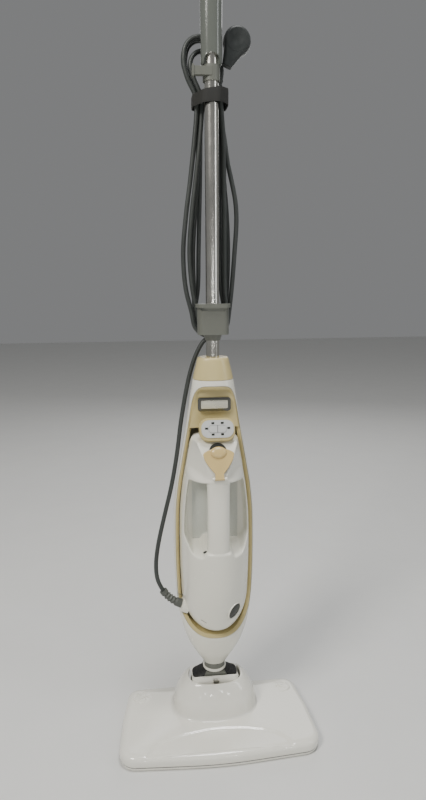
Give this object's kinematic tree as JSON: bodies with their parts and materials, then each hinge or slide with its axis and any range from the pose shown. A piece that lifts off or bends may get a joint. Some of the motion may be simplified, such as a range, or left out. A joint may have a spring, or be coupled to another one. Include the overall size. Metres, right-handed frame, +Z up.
{
  "type": "steam mop",
  "caption": "Upright steam mop with a tilting head, a teardrop cradle holding a detachable hand-held steam unit, and a folded mains lead on hooks behind the pole.",
  "frame": {"origin": "centre of the mop head's footprint, on the floor", "axes": "+Z up along the pole, -Y towards the front, where the steam unit is drawn out"},
  "size_m": [0.3036, 0.1621, 1.165],
  "materials": {
    "white": "glossy cream white moulding",
    "beige": "satin beige moulding",
    "gold": "gold tinted moulding",
    "mid_grey": "matte grey moulding",
    "pale_grey": "pale grey moulding",
    "grip_grey": "glossy dark grey moulding",
    "cable": "dark grey cable sheath",
    "black": "black rubber",
    "dark_lens": "dark tinted lens",
    "steel": "plain steel",
    "chrome": "polished",
    "brass": "turned",
    "clear": "clear tank plastic",
    "board": "circuit board",
    "textile": "hook tape"
  },
  "bodies": {
    "head": {"sole_plate": "white", "head_cover": "white", "head_gasket": "black", "steam_chamber": "pale_grey", "head_hose": "mid_grey", "pivot_bracket": "mid_grey", "cloth_gripper_left": "white", "cloth_gripper_right": "white", "hook_strips": "textile", "head_screws": "steel", "tilt_pins": "steel"},
    "yoke": {"yoke": "white", "roll_pin": "steel"},
    "stick": {"swivel_neck": "mid_grey", "neck_boot": "black", "bottom_ring": "white", "cradle_rear_shell": "white", "cradle_front_frame": "white", "dock_liner": "beige", "top_collar": "beige", "badge_frame": "chrome", "steam_socket": "mid_grey", "stick_hose": "mid_grey", "cradle_screws": "steel", "pole": "chrome", "lower_cord_hook": "mid_grey", "grip_rear_shell": "grip_grey", "grip_front_shell": "grip_grey", "grip_screws": "steel", "cord_strap": "cable", "cord_lead": "cable", "cord_hank": "cable", "plug_body": "cable", "plug_insert": "pale_grey", "plug_pins": "steel"},
    "upper_hook": {"upper_cord_hook": "mid_grey"},
    "release_key": {"release_button": "white"},
    "steam_unit": {"unit_front_shell": "white", "unit_rear_shell": "white", "handle_bar": "white", "water_tank": "clear", "filler_neck": "pale_grey", "pump": "pale_grey", "boiler": "steel", "control_board": "board", "pod_bezel": "beige", "pod_fascia": "pale_grey", "status_lamps": "dark_lens", "gauge_window": "dark_lens", "flap_pin": "white", "cord_boss": "white", "strain_relief": "cable", "steam_spigot": "brass", "spigot_seal": "black", "unit_screws": "steel"},
    "filler_flap": {"filler_flap": "gold"},
    "steam_key": {"steam_button": "pale_grey"},
    "power_key": {"power_button": "pale_grey"}
  },
  "joints": [
    {"name": "head_tilt", "type": "hinge", "parent": "head", "child": "yoke", "pos_m": [0, 0.029, 0.052], "axis": [-1, 0, 0], "range_deg": [0, 80]},
    {"name": "stick_roll", "type": "hinge", "parent": "yoke", "child": "stick", "pos_m": [0, 0.029, 0.08], "axis": [0, 1, 0], "range_deg": [-35, 35]},
    {"name": "unit_release", "type": "slide", "parent": "stick", "child": "steam_unit", "axis": [0, -1, 0], "range_m": [0, 0.12]},
    {"name": "hook_swivel", "type": "hinge", "parent": "stick", "child": "upper_hook", "pos_m": [0, 0.029, 0.97], "axis": [0, 0, 1], "range_deg": [0, 90]},
    {"name": "release_press", "type": "slide", "parent": "stick", "child": "release_key", "axis": [0, 1, 0], "range_m": [0, 0.0015], "stiffness_N_per_m": 1500},
    {"name": "flap_open", "type": "hinge", "parent": "steam_unit", "child": "filler_flap", "pos_m": [0, -0.04837, 0.43461], "axis": [1, 0, 0], "range_deg": [0, 110]},
    {"name": "steam_press", "type": "slide", "parent": "steam_unit", "child": "steam_key", "axis": [0, 0.9781, -0.2079], "range_m": [0, 0.001], "stiffness_N_per_m": 1500},
    {"name": "power_press", "type": "slide", "parent": "steam_unit", "child": "power_key", "axis": [0, 0.9781, -0.2079], "range_m": [0, 0.001], "stiffness_N_per_m": 1500}
  ]
}
